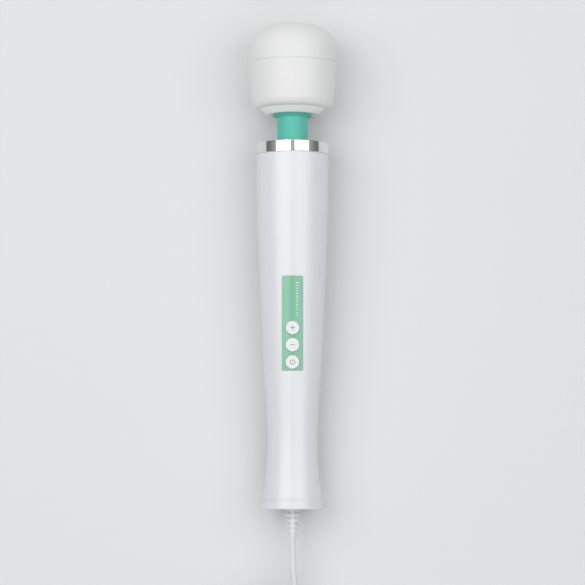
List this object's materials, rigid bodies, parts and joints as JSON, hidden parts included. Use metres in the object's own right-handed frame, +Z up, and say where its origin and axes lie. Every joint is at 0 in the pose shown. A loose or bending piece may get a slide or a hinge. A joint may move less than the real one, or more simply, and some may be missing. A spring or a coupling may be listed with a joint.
{
  "type": "handheld wand massager",
  "caption": "Corded wand massager with a soft round head on a flexible neck, chrome collar, control panel with push buttons, lead and wall adapter.",
  "frame": {"origin": "on the surface the wand lies on, under the middle of the wand's box without its cord and adapter", "axes": "+Y from the cord end towards the head, +Z up out of the control panel, +X to the right of the panel with the head away"},
  "size_m": [0.0851, 0.5423, 0.0594],
  "materials": {
    "silicone_white": "soft satin",
    "abs_white": "gloss",
    "screw_plug": "satin",
    "chrome": "polished",
    "silicone_turquoise": "soft satin",
    "panel_turquoise": "gloss",
    "button_white": "satin",
    "steel": "machined",
    "core_plastic": "moulded",
    "motor_plastic": "moulded",
    "magnet": "sintered",
    "copper": "drawn",
    "mount_rubber": "matte",
    "board_green": "solder mask",
    "board_black": "matte",
    "cord_white": "satin PVC",
    "lead_red": "satin PVC",
    "tie_black": "matte",
    "adapter_white": "fine texture",
    "pin_metal": "nickel plated"
  },
  "bodies": {
    "handle": {"front_shell": "abs_white", "rear_shell": "abs_white", "shell_screws": "steel", "screw_plugs": "screw_plug", "base_cap": "abs_white", "neck_socket": "core_plastic", "collar_ring": "chrome", "motor_can": "steel", "motor_endbell": "motor_plastic", "motor_bushings": "copper", "motor_magnets": "magnet", "motor_brushes": "magnet", "motor_terminals": "copper", "motor_mounts": "mount_rubber", "control_board": "board_green", "board_screws": "steel", "tact_switches": "motor_plastic", "board_components": "board_black", "control_panel": "panel_turquoise", "cord_relief": "cord_white", "cord_tail": "cord_white", "cord_clamp": "core_plastic", "clamp_screws": "steel", "supply_leads": "lead_red", "motor_leads": "lead_red", "cord_free": "cord_white", "cord_to_adapter": "cord_white", "cord_coil": "cord_white", "cord_tie": "tie_black", "adapter_rear_half": "adapter_white", "adapter_front_half": "adapter_white", "adapter_pins": "pin_metal", "adapter_relief": "cord_white", "adapter_board": "board_green"},
    "neck": {"neck_sleeve": "silicone_turquoise", "neck_spring": "steel", "flexible_drive_coil": "steel"},
    "head": {"head_cap": "silicone_white", "head_sleeve": "silicone_white", "head_core_lower": "core_plastic", "head_core_upper": "core_plastic", "core_screws": "steel", "head_base_ring": "abs_white", "bearing_outer_races": "steel", "bearing_balls": "steel"},
    "motor_rotor": {"motor_shaft": "steel", "motor_armature": "magnet", "motor_windings": "copper", "motor_commutator": "motor_plastic", "lower_coupling_hub": "steel"},
    "eccentric": {"upper_coupling_hub": "steel", "eccentric_shaft": "steel", "eccentric_weight": "steel", "weight_screw": "steel", "bearing_inner_races": "steel"},
    "power_key": {"button_power": "button_white"},
    "minus_key": {"button_minus": "button_white"},
    "plus_key": {"button_plus": "button_white"}
  },
  "joints": [
    {"name": "neck_bend_side", "type": "hinge", "parent": "handle", "child": "neck", "pos_m": [0, 0.094, 0.02804], "axis": [0, -0.0329, 0.9995], "range_deg": [-30, 30], "stiffness_Nm_per_rad": 3, "deforming": ["neck_sleeve", "neck_spring", "flexible_drive_coil"]},
    {"name": "neck_bend_front", "type": "hinge", "parent": "neck", "child": "head", "pos_m": [0, 0.10359, 0.02835], "axis": [1, 0, 0], "range_deg": [-30, 30], "stiffness_Nm_per_rad": 3, "deforming": ["neck_sleeve", "neck_spring", "flexible_drive_coil"]},
    {"name": "motor_spin", "type": "hinge", "parent": "handle", "child": "motor_rotor", "pos_m": [0, 0.01724, 0.02551], "axis": [0, 0.9995, 0.0329], "continuous": true},
    {"name": "eccentric_spin", "type": "hinge", "parent": "head", "child": "eccentric", "pos_m": [0, 0.13018, 0.02923], "axis": [0, 0.9995, 0.0329], "continuous": true},
    {"name": "power_press", "type": "slide", "parent": "handle", "child": "power_key", "axis": [0, 0.0329, -0.9995], "range_m": [0, 0.0005], "stiffness_N_per_m": 2000},
    {"name": "minus_press", "type": "slide", "parent": "handle", "child": "minus_key", "axis": [0, 0.0329, -0.9995], "range_m": [0, 0.0005], "stiffness_N_per_m": 2000},
    {"name": "plus_press", "type": "slide", "parent": "handle", "child": "plus_key", "axis": [0, 0.0329, -0.9995], "range_m": [0, 0.0005], "stiffness_N_per_m": 2000}
  ],
  "couplings": [
    {"joint": "eccentric_spin", "follows": "motor_spin", "ratio": 1}
  ]
}
